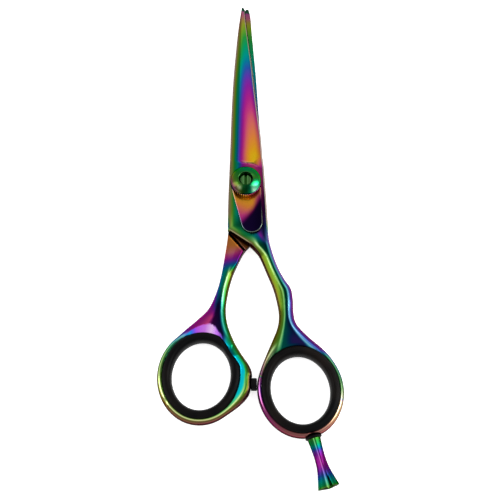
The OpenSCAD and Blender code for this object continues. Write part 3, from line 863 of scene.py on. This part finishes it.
THUMB_BANDS = [
    # outer edge, outer side, outer side, outer side, ridge, inner side, insert; by angle; the ridge
    # and inner side carry painted highlights, and the insert side painted shade
    (6, (0, .13, .24, .4, .52, .62, 1), (.86, .84, .8, .66, .68, .54, .53),
     (.4, .6, .4, .5, 2.6, 4.4, 4), (.1, .3, 0, 0, 0, 0, 0)),
    (-10, (0, .13, .24, .4, .52, .64, 1), (.86, .84, .8, .66, .7, .54, .53),
     (.4, .5, .4, .5, 3.4, 4.4, 4), (.1, .2, 0, 0, .1, 0, 0)),
    (-28, (0, .13, .24, .4, .54, .68, 1), (.86, .84, .8, .7, .74, .56, .54),
     (.4, .6, .6, .8, 4.4, 4.4, 3.8), (0, .1, 0, 0, .25, 0, 0)),
    (-48, (0, .15, .28, .42, .56, .72, 1), (.86, .84, .81, .77, .75, .68, .62),
     (.4, .6, .6, 1, 4.4, 3.4, 1), (0, 0, 0, 0, .3, .1, 0)),
    (-90, UNDER_AT, (.86, .84, .82, .8, .76, .74, .7), (.4, .6, .75, .9, 4.4, 1.1, .3),
     (0, 0, 0, .1, .3, .1, 0)),
    (-135, UNDER_AT, (.85, .83, .81, .78, .75, .74, .7), (.4, .6, .75, .9, 4.4, 1.1, .3),
     (0, 0, 0, .1, .3, .1, 0)),
    (180, (0, .1, .2, .3, .4, .6, 1), (.8, .79, .77, .75, .73, .74, .7),
     (.6, .7, .8, .9, 4, .7, .2), (0, 0, .1, .1, .25, .1, 0)),
    (150, (0, .1, .2, .3, .4, .6, 1), (.62, .63, .66, .69, .71, .7, .6),
     (.6, .6, .7, .8, 3.4, .8, .2), (0, 0, 0, .1, .2, .1, 0)),
    (128, (0, .12, .24, .35, .45, .65, 1), (.44, .48, .5, .53, .54, .57, .6),
     (.8, .9, 1, 1, 3.4, 1, .4), (0, 0, 0, .1, .1, .1, 0)),
    (110, RIM_AT, (.34, .36, .42, .48, .52, .53, .5), (.85, .9, .95, 1, 4, 4, .6),
     (0, 0, 0, .1, .15, .15, .1)),
    (52, (0, .1, .25, .45, .65, .85, 1), (.84, .76, .68, .62, .58, .54, .5),
     (.6, .8, .9, 1, 2, 3, 2), (.1, .1, 0, 0, 0, 0, 0)),
    (30, (0, .1, .25, .4, .55, .75, 1), (.84, .8, .72, .64, .6, .54, .53),
     (.5, .8, .7, .8, 2.2, 4, 3.4), (.1, .2, 0, 0, 0, 0, 0)),
]


def comb_line():
    """The toothed blade's hidden edge, from its heel to its tip."""
    ys, xs = [b for _, b in COMB], [a for a, _ in COMB]
    spine_ys, spine_xs = zip(*((b, a) for a, b in reversed(BACK_SPINE)))
    line = [np.array([COMB[0]])]
    for i in reversed(range(TEETH)):
        y = COMB_START - i * TOOTH_PITCH
        low, high = y - SLOT_W / 2, y + SLOT_W / 2
        left = np.interp(y, ys, xs)
        root = left + SLOT_SHARE * (np.interp(y, spine_ys, spine_xs) - left)
        corners = [(np.interp(low, ys, xs), low), (root, low), (root, high),
                   (np.interp(high, ys, xs), high)]
        for a, b in zip(corners, corners[1:]):
            line.append(even(np.array([a, b]), 0.4)[:-1])
        line.append(np.array(corners[-1:]))
    line.append(curve(COMB[-2:])[1:])
    return np.vstack(line)


def back_half():
    """Toothed blade, sloped shoulder, shank and thumb ring."""
    rim = oval(THUMB, INSERT_W + THUMB_RIM, 230)
    spine, inner, outer = (curve(p) for p in (BACK_SPINE, INNER_LEFT, OUTER_LEFT))
    inner, around, outer = with_ring(inner, outer, rim, -1)
    comb = comb_line()
    loop = np.vstack([spine, inner, around, outer, comb])
    plain = np.arange(len(loop)) >= len(loop) - len(comb)
    loop = eased(loop, [inner[-1], outer[0]])
    hit = (loop[:, 0] > NOSE) & (np.abs(loop[:, 1] - bumper_mid[1]) < 2.1)
    loop[hit, 0] = NOSE
    hole = insert_outline(THUMB, INSERT_W + 0.02)
    lines = [np.vstack([c, c[:1]]) for c in (circle(r) for r in (4.47, 4.53, 4.67, 4.73))]
    lines += parallels((1.2, -23.4), (-7, -14.05), (-0.12, 0, 0.12, 1.45))
    shape = plan(loop, [hole, circle(3.2, 60)], lines, plain=plain)
    xy = shape[0]
    x, y = xy.T
    n_right = len(spine) + len(inner) + len(around) // 2
    right_line, left_line = loop[:n_right + 1], loop[n_right:len(loop) - len(comb)]
    dl, dr, dh = near(xy, left_line), near(xy, right_line), near(xy, hole, True)
    angle = around_ring(xy, THUMB)
    web = np.minimum(ease(angle, 52, 64), 1 - ease(angle, 100, 116))
    in_ring = (1 - web) * (1 - ease(y, -52, -47))
    wide_l = along(y, (-60, 1.5), (-50, 1.6), (-41, 2.0), (-30, 1.4), (-20, 0.6), (-15, 0.3))
    deep_l = along(y, (-34, 1.5), (-24, 0.8), (-15, 0.25))
    wide_r = along(y, (-60, 1.5), (-50, 1.5), (-41, 1.7), (-31, 1.6), (-27.5, 0.3))
    deep_r = along(y, (-34, 1.5), (-31, 1.2), (-27.5, 0.25))
    fall = along(y, (-34, 0.16), (-28, 0))
    round_l = rounded(dl, wide_l, deep_l, fall) * (y < -5)
    edges = round_l + rounded(dr, wide_r, deep_r, fall) + rounded(dh, 1.4, 0.35) * in_ring
    # dished facet above the thumb's insert
    reach = along(angle, (57, 0), (68, 1.2), (76, 2.6), (80, 3), (86, 2.7), (100, 1.5), (118, 0))
    dish = np.maximum(reach - dh, 0)
    face = TOP - edges - 0.22 * dish
    foot = side_of(xy, (-0.3, -21.7), (-3.8, -17.7))
    slope_w, slope_h = 1.486, 2.45
    ramp = MID - GAP + slope_h * (np.maximum(foot, 0) / slope_w) ** 1.5
    # nothing stands above the middle where the front half sweeps
    relief = -side_of(xy, (-5.85, -16.1), (1.9, -21.4))
    ramp = np.minimum(ramp, MID - GAP + np.maximum(relief, 0) * 8)
    top = lower(face, ramp, 0.06)
    # seats of the glide washer and of the screw's head
    radius = np.hypot(x, y)
    top = np.where(radius < 4.5, MID - GAP - 0.4, top)
    bottom = MID - blade_face(-x, y) + edges + 0.22 * dish
    bottom = np.where(radius < 4.7, BACK + 0.55, bottom)
    bottom = np.minimum(bottom, top - 0.05)
    values, under = back_film(xy, dl, dr, dh, angle, in_ring, dish, foot)
    verts, faces = between(shape, top, bottom)
    return build("toothed_half_metal", verts, faces, painted(*np.hstack([values, under])),
                 "thumb_half", METAL, ["toothed_blade"])


def back_film(xy, dl, dr, dh, angle, in_ring, dish, foot):
    """Film, shade and pale of the back half's two faces, as in front_film. dish is the distance
    into the dished facet, and foot the distance past the foot of the sloped shoulder."""
    x, y = xy.T
    # flat: the face behind the front half, a strip of which shows along the cutting edge; its painted
    # shade deepens towards the crossing
    u = dl / (dl + dr)
    strip = along(y, (-20, 0.16), (0, 0.3), (20, 0.42), (35, 0.52), (45, 0.56), (52, 0.62),
                  (58, 0.68), (62, 0.76), (65, 0.86), (TIP - 2, 0.9), (TIP - 1.9, 0.97))
    flat = np.array([strip, along(y, (-15, 0.2), (0, 0.7), (60, 0.7), (66, 0.8)), 0 * y])
    crossing = 1 - ease(y, -17, -15)
    flat[0] = flat[0] + (along(x, (-3, 0.12), (1, 0.08), (2.5, 0.26)) - flat[0]) * crossing
    shank = banded(u, y, LEFT_SHANK)
    ring = banded(rim_share(dl, dr, dh), angle, wrapped(THUMB_BANDS))
    values = shank + (ring - shank) * in_ring
    # painted shade along the edge of the insert's hole
    values[1] = values[1] * (1 - 0.75 * (1 - ease(dh, 0.06, 0.3)))
    # painted highlight: bright violet on the dished facet, cyan at its left end
    facet_highlight = ease(dish, 0.02, 0.25) * ease(angle, 57, 66)
    values = moved(
        values, facet_highlight,
        along(angle, (60, 0.4), (68, 0.36), (84, 0.35), (96, 0.36), (106, 0.5)),
        along(angle, (60, 2.6), (70, 3.8), (100, 4.2)),
        along(angle, (60, 0), (72, 0.1), (78, 0.35), (86, 0.1), (100, 0)),
    )
    # painted shade on the sloped step at the crossing, with a painted highlight line at its foot
    reach = along(x, (-6, 1.4), (-2, 1), (1.5, 0.3))
    step_shade = ease(foot, -0.02, 0.12) * (1 - ease(foot, reach - 0.3, reach))
    values[1] = values[1] * (1 - 0.93 * step_shade * ease(y, -24, -22))
    values = values + (flat - values) * (1 - ease(foot, -0.25, 0))
    foot_highlight = bell(foot, -0.04, 0.1) * (1 - ease(y, -18.4, -17.8))
    values[2] = np.maximum(values[2], 0.3 * foot_highlight)
    values[1] = np.maximum(values[1], 1.1 * foot_highlight)
    under = values.copy()
    under[0] = np.where(y > -14, along(y, (-14, 0.2), (10, 0.34), (40, 0.54), (69, 0.8)), under[0])
    return values, under


# ---- Ring inserts ----


def ring_insert(name, ring, body, node):
    """A rubber ring with a round section and a groove that the metal sits in."""
    low, high = box_mm(node)
    centre, half = (low[2] + high[2]) / 2, (high[2] - low[2]) / 2
    w = INSERT_W / 2
    inner = [(w - w * math.cos(a), half * math.sin(a)) for a in np.radians(range(0, 90, 8))]
    outer = [(w + w * math.cos(a), half - 1 + math.sin(a)) for a in np.radians(range(90, -1, -9))]
    section = inner + outer + [(INSERT_W - 0.05, 0.8)]
    section += [(g, -h) for g, h in reversed(section[1:])]
    grow, height = zip(*section)
    count = 144
    verts, faces = [], []
    for g, h in zip(grow, height):
        loop = insert_outline(ring, g, count)
        verts += [(px, py, centre + h) for px, py in loop]
    rows = len(grow)
    for r in range(rows):
        for k in range(count):
            a, b = r * count + k, r * count + (k + 1) % count
            c, d = ((r + 1) % rows) * count + (k + 1) % count, ((r + 1) % rows) * count + k
            faces.append((a, b, c, d))
    return build(name, verts, faces, {}, body, RUBBER, [node], 60)


# ---- Things turned on an axis ----


def lathe(profile, radius_at=None, count=96):
    """Points and faces of a profile of (radius, height) pairs turned about Z.
    radius_at(radius, height, angles) may change the radius round the axis."""
    angles = np.linspace(0, 2 * math.pi, count, endpoint=False)
    verts, faces = [], []
    for r, h in profile:
        rs = np.full(count, float(r))
        if radius_at is not None:
            rs = radius_at(rs, h, angles)
        verts += list(zip(rs * np.cos(angles), rs * np.sin(angles), np.full(count, float(h))))
    for i in range(len(profile) - 1):
        for k in range(count):
            a, b = i * count + k, i * count + (k + 1) % count
            faces.append((a, b, b + count, a + count))
    return np.array(verts), faces


DOME_AT = (0, .2, .5, .8, 1)
DOME_BANDS = [
    # mouth of the well, inner, middle, outer, rim; by angle; a painted highlight low on the right and
    # painted shade at the bottom
    (90, DOME_AT, (.66, .62, .61, .6, .62), (.6, .9, 1, 1, .6)),
    (45, DOME_AT, (.68, .66, .65, .64, .62), (.6, .9, 1, 1, .6)),
    (5, DOME_AT, (.7, .68, .67, .67, .7), (.6, .9, 1.1, 1.1, .6)),
    (-15, DOME_AT, (.66, .63, .61, .61, .64), (.7, 1.2, 2, 1.5, .6)),
    (-35, DOME_AT, (.64, .62, .61, .6, .62), (.6, 1.2, 2.6, 2.4, .7), (0, 0, .05, .05, 0)),
    (-55, DOME_AT, (.64, .62, .6, .6, .6), (.4, .6, 2, 3.8, .8), (0, 0, .1, .3, .1)),
    (-68, DOME_AT, (.64, .62, .6, .6, .6), (.3, .3, .4, 1, .6)),
    (-85, DOME_AT, (.64, .64, .64, .64, .6), (.3, .2, .15, .2, .4)),
    (-105, DOME_AT, (.66, .66, .66, .7, .7), (.3, .5, .3, .2, .3)),
    (-122, DOME_AT, (.68, .7, .72, .8, .86), (.5, .9, 1.7, .4, .4), (0, .1, .4, .1, .1)),
    (-140, DOME_AT, (.68, .7, .76, .86, .9), (.5, .8, .6, .4, .4), (0, 0, .1, .1, .1)),
    (180, DOME_AT, (.68, .68, .7, .84, .9), (.6, .8, .8, .5, .4), (0, 0, 0, .1, .1)),
    (140, DOME_AT, (.68, .66, .66, .68, .72), (.6, .8, .9, .8, .5)),
]
SKIRT_BANDS = [
    # bottom and top of the knurled skirt; by angle; a painted golden highlight at the front and
    # painted shade on the left
    (90, (0, 1), (.6, .6), (.6, .6)),
    (10, (0, 1), (.4, .34), (.6, .8)),
    (-35, (0, 1), (.28, .24), (1, 1.8), (.1, .1)),
    (-65, (0, 1), (.16, .2), (1.2, 2.4), (.1, .1)),
    (-82, (0, 1), (.02, .05), (1.6, 3.6), (.1, .1)),
    (-98, (0, 1), (0, 0), (1.6, 4.2), (.1, .1)),
    (-112, (0, 1), (.02, 0), (.5, 1.8)),
    (-135, (0, 1), (.06, .04), (.2, .4)),
    (-165, (0, 1), (.7, .6), (.2, .3)),
]


def knob():
    """The domed knob, with its knurled skirt and the well for the screw's end."""
    low, high = knob_low[2], knob_high[2]
    r = (knob_high[0] - knob_low[0]) / 2
    bore, mouth = 2.1, 2.35
    skirt = 2.2
    profile = [(bore, low), (r - 0.4, low), (r - 0.1, low + 0.08)]
    profile += [(r, low + 0.2 + 1.5 * k / 6) for k in range(7)]
    profile += [(r - 0.12, low + 1.86), (r - 0.22, low + 1.92), (r - 0.16, low + 2.05)]
    for a in np.radians(np.linspace(0, 76, 22)):
        dome_r = (r - 0.1) * math.cos(a)
        if dome_r > mouth + 0.25:
            profile.append((dome_r, low + skirt + (high - low - skirt) * math.sin(a)))
    top_h = profile[-1][1]
    profile += [(mouth + 0.12, top_h + 0.05), (mouth, top_h), (mouth - 0.08, top_h - 0.15),
                (bore + 0.1, high - 1.3), (bore, high - 1.6)]
    knurls = 44

    def valley(angles):
        return 0.5 - 0.5 * np.cos(knurls * angles)

    def knurled(rs, h, angles):
        if low + 0.15 < h < low + 1.8:
            return rs - 0.24 * valley(angles) ** 0.7
        return rs

    verts, faces = lathe(profile, knurled, knurls * 10)
    x, y, z = verts.T
    radius = np.hypot(x, y)
    angle = around_ring(verts[:, :2], (0, 0))
    dome = banded((radius - mouth) / (r - mouth), angle, wrapped(DOME_BANDS))
    skirt_values = banded((z - low) / skirt, angle, wrapped(SKIRT_BANDS))
    # painted shade in the knurls' valleys and painted highlight on their ridges
    skirt_values[1] *= 1.1 - 0.8 * valley(np.radians(angle))
    values = np.where(z > low + 1.9, dome, skirt_values)
    # the well: one colour, with a slight painted highlight
    in_well = radius < mouth + 0.02
    values = np.where(in_well, np.array([[0.66], [0.9], [0.1]]), values)
    return build("tension_knob_metal", verts, faces, painted(*values), "knob", METAL,
                 ["tension_knob"], 50)


def screw():
    """The pivot screw: back head, shoulder, threaded end and driver slot."""
    low, high = box_mm("pivot_screw")
    head, head_top = (high[0] - low[0]) / 2, 1.0
    shoulder, root, end_r, half_slot = 2.5, 1.8, 1.9, 0.4
    slot_z = high[2] - 0.8
    profile = [(0.01, low[2]), (head - 0.3, low[2]), (head - 0.05, low[2] + 0.2),
               (head, low[2] + 0.32), (head, head_top - 0.05), (head - 0.05, head_top),
               (shoulder, head_top), (shoulder, TOP + 0.75), (1.95, TOP + 0.8)]
    for z in np.arange(TOP + 1, slot_z - 0.1, 0.32):
        profile += [p for p in ((1.98, z), (root, z + 0.16)) if p[1] < slot_z - 0.1]
    verts, faces = lathe(profile + [(root, slot_z), (0.01, slot_z)], None, 72)
    # slotted end: a short disc with the driver slot across it
    walls = parallels((0, -2.2), (0, 2.2), (-0.42, -0.38, 0.38, 0.42))
    disc = plan(circle(end_r, 72), (), walls, rows=(0.05, 0.12, 0.2, 0.3), pitch=0.3)
    x, y = disc[0].T
    crown = high[2] - rounded(end_r - np.hypot(x, y), 0.25, 0.22)
    crown = np.where(np.abs(x) < half_slot, slot_z + 0.03, crown)
    more, more_faces = between(disc, crown, np.full(len(x), slot_z))
    faces = [tuple(f) for f in faces] + [tuple(k + len(verts) for k in f) for f in more_faces]
    verts = np.vstack([verts, more])
    x, y, z = verts.T
    end = z > high[2] - 0.4
    # painted shade on the part in the knob's well, and painted reflection stripes across the slotted
    # end
    shade = np.where(z > TOP, 0.4, 0.9) + end * (0.2 + 0.6 * np.cos(2.5 * x - 1.2) ** 2)
    values = painted(np.where(z > TOP, 0.68, 0.3), shade, 0.1 * end)
    return build("pivot_screw_metal", verts, faces, values, "finger_half", METAL,
                 ["pivot_screw"], 30)


def leaf():
    """The tongue-shaped spring under the knob, dark where its tip turns away from the light."""
    low, high = leaf_low[2], leaf_high[2]
    r1, r2 = 4.9, TONGUE_R
    way = math.atan2(TONGUE[1], TONGUE[0])
    lean = math.asin((r1 - r2) / np.hypot(*TONGUE))
    big = np.linspace(way + math.pi / 2 - lean, way + 3 * math.pi / 2 + lean, 60)
    small = np.linspace(way - math.pi / 2 + lean, way + math.pi / 2 - lean, 40)
    loop = np.vstack([
        np.column_stack([r1 * np.cos(big), r1 * np.sin(big)]),
        TONGUE + np.column_stack([r2 * np.cos(small), r2 * np.sin(small)]),
    ])
    loop = even(np.vstack([loop, loop[:1]]), 0.35)[:-1]
    shape = plan(loop, [circle(2.52, 48)], rows=(0.03, 0.08, 0.15, 0.24, 0.34, 0.6),
                 hole_rows=(0.1,), pitch=0.5)
    xy = shape[0]
    x, y = xy.T
    d = near(xy, loop, True)
    top = high - rounded(d, 0.32, 0.3)
    bottom = np.full(len(xy), low)
    film = along(-y - 0.55 * x, (2, 0.08), (6, 0.06), (8, 0.09), (10, 0.15), (12, 0.21), (14, 0.24))
    film = film + 0.14 * ease(x, 2.2, 4.8) * ease(-y, 2, 6)
    dark = along(x, (-1.6, -14.6), (0.5, -12.2), (2.5, -9.6), (5.1, -5.2)) - y
    film = film + 0.04 * ease(dark, -4, -1)
    film = film + (0.4 - film) * ease(dark, -1, 1.5)
    # painted shade, deeper to the right and over the dark lower part
    shade = 1.5 - 0.6 * ease(x, 1.6, 4.6)
    shade = shade * (1 - 0.94 * ease(dark, -2.8, 1))
    # painted highlight along the edge towards the tip
    line = 1 - ease(d, 0.08, 0.2)
    shade = shade + (1.1 - shade) * line * ease(-y, 7, 14)
    film = film + (along(x, (0, 0.55), (4, 0.8)) - film) * line * ease(-y, 7, 12)
    values = painted(*(np.concatenate([v, v]) for v in (film, shade, 0.5 * line)))
    verts, faces = between(shape, top, bottom)
    return build("leaf_spring_metal", verts, faces, values, "finger_half", METAL,
                 ["leaf_spring"])


def placed(verts, origin, ahead, side):
    """Points turned so that their Z runs along ahead and their X along side."""
    ahead, side = np.array(ahead, float), np.array(side, float)
    third = np.cross(ahead, side)
    return np.array(origin) + verts @ np.array([side, third, ahead])


def bumper():
    """The rubber stop's head; its stem is inside the thumb ring."""
    r = (bumper_high[1] - bumper_low[1]) / 2
    reach = bumper_high[0] - NOSE
    profile = [(0.01, 0), (r - 0.15, 0), (r - 0.04, 0.1), (r, 0.3), (r, reach - 0.3),
               (r - 0.05, reach - 0.12), (r - 0.18, reach - 0.03), (r - 0.4, reach), (0.01, reach)]
    verts, faces = lathe(profile, None, 64)
    verts = placed(verts, (NOSE, *bumper_mid[1:]), (1, 0, 0), (0, 1, 0))
    return build("bumper_rubber", verts, faces, {}, "thumb_half", RUBBER, ["bumper"],
                 60)


def finger_rest():
    """The fluted trumpet on the finger ring, and the washer under it."""
    thick, length, end_r, bulge = 0.8, 15.2, 3.4, 0.5
    neck = curve([(2.05, 0), (1.8, 0.2 * length), (1.7, 0.42 * length), (1.95, 0.62 * length),
                  (end_r * 0.78, 0.82 * length), (end_r, length)], 0.25)
    profile = [(0.01, thick), (1.9, thick)]
    profile += [(r, thick + max(h, 0.08)) for r, h in neck[:-1]]
    end = thick + length
    profile += [(end_r - 0.02, end - 0.05), (end_r - 0.1, end + 0.03)]
    profile += [(end_r * t, end + bulge * (1 - t)) for t in (0.9, 0.75, 0.6, 0.4, 0.2, 0.01)]

    def fluted(rs, h, angles):
        deep = ease(h, thick + 0.4 * length, thick + length)
        bite = np.maximum(0, np.cos(4 * (angles - math.radians(78)))) ** 6
        return rs * (1 - deep * bite / end_r)

    verts, faces = lathe(profile, fluted, 144)
    h = verts[:, 2] - thick
    film = along(h / length, (0, 0.68), (0.12, 0.63), (0.2, 0.52), (0.28, 0.38), (0.4, 0.31),
                 (0.55, 0.31), (0.65, 0.36), (0.74, 0.44), (0.84, 0.54), (0.95, 0.62), (1, 0.7))
    # painted shade on the sides and a painted highlight streak down the front
    theta = np.arctan2(verts[:, 1], verts[:, 0])
    highlight_streak = np.maximum(0, np.cos(theta - math.radians(100))) ** 260
    shade = 0.8 - 0.3 * np.abs(np.cos(theta)) + 3.2 * highlight_streak
    build("finger_rest_metal", on_seat(verts), faces, painted(film, shade, 0.12 * highlight_streak),
          "finger_half", METAL, ["finger_rest"], 35)
    bore = 1.32
    profile = [(bore, 0), (2.4, 0), (2.55, 0.12), (2.6, 0.4), (2.55, 0.68), (2.4, thick),
               (bore, thick), (bore, 0)]
    verts, faces = lathe(profile, None, 64)
    build("finger_rest_washer_rubber", on_seat(verts), faces, {}, "finger_half", RUBBER,
          ["finger_rest_washer"], 50)


front_half()
back_half()
ring_insert("thumb_insert_rubber", THUMB, "thumb_half", "thumb_ring_insert")
ring_insert("finger_insert_rubber", FINGER, "finger_half", "finger_ring_insert")
knob()
screw()
leaf()
bumper()
finger_rest()

for node, material in (("pivot_bushing", BRASS), ("glide_washer", NYLON)):
    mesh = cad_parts[node].data
    mesh.materials.clear()
    mesh.materials.append(material)


# ---- Floor, light and camera ----


def area(name, where, aim, width, height, power):
    light = bpy.data.lights.new(name, "AREA")
    light.shape = "RECTANGLE"
    light.size, light.size_y = width, height
    light.energy = power
    lamp = bpy.data.objects.new(name, light)
    lamp.location = where
    lamp.rotation_mode = "QUATERNION"
    lamp.rotation_quaternion = (Vector(aim) - Vector(where)).to_track_quat("-Z", "Y")
    bpy.context.scene.collection.objects.link(lamp)


def studio():
    """White paper under the shears, a white sky and three soft lights."""
    scene = bpy.context.scene
    world = bpy.data.worlds.new("studio")
    scene.world = world
    world.use_nodes = True
    backdrop = world.node_tree.nodes["Background"]
    backdrop.inputs["Color"].default_value = (1, 1, 1, 1)
    backdrop.inputs["Strength"].default_value = 0.92
    floor_mesh = bpy.data.meshes.new("floor")
    s, z = 3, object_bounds()[0][2]
    floor_mesh.from_pydata([(-s, -s, z), (s, -s, z), (s, s, z), (-s, s, z)], [], [(0, 1, 2, 3)])
    floor = bpy.data.objects.new("floor", floor_mesh)
    scene.collection.objects.link(floor)
    paper = Nodes("paper")
    paper.shader.inputs["Base Color"].default_value = (0.93, 0.93, 0.93, 1)
    paper.shader.inputs["Roughness"].default_value = 0.9
    paper.shader.inputs["Specular IOR Level"].default_value = 0.1
    paper.shader.inputs["Emission Color"].default_value = (1, 1, 1, 1)
    paper.shader.inputs["Emission Strength"].default_value = 0.65
    floor_mesh.materials.append(paper.material)
    floor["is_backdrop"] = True
    area("left_strip", (-0.55, -0.05, 0.30), (0, -0.02, 0), 0.25, 0.7, 1.5)
    area("right_strip", (0.50, 0.00, 0.42), (0, -0.02, 0), 0.25, 0.7, 3.0)
    area("back_box", (0.20, 0.50, 0.62), (0, 0, 0), 0.5, 0.35, 0.6)
    scene.view_settings.view_transform = "Standard"


def camera():
    """Seen from 70 degrees above the table, on the finger rings' side."""
    height, distance = math.radians(70), 332.5
    data = bpy.data.cameras.new("camera")
    data.lens, data.sensor_width = 73.5, 36
    cam = bpy.data.objects.new("camera", data)
    bpy.context.scene.collection.objects.link(cam)
    aim = Vector((1.4, -22.2, 2.9)) * MM
    back = Vector((0, -math.cos(height), math.sin(height)))
    cam.location = aim + back * distance * MM
    cam.rotation_mode = "QUATERNION"
    cam.rotation_quaternion = (-back).to_track_quat("-Z", "Y")
    data.clip_start, data.clip_end = 0.01, 20
    bpy.context.scene.camera = cam


studio()
camera()
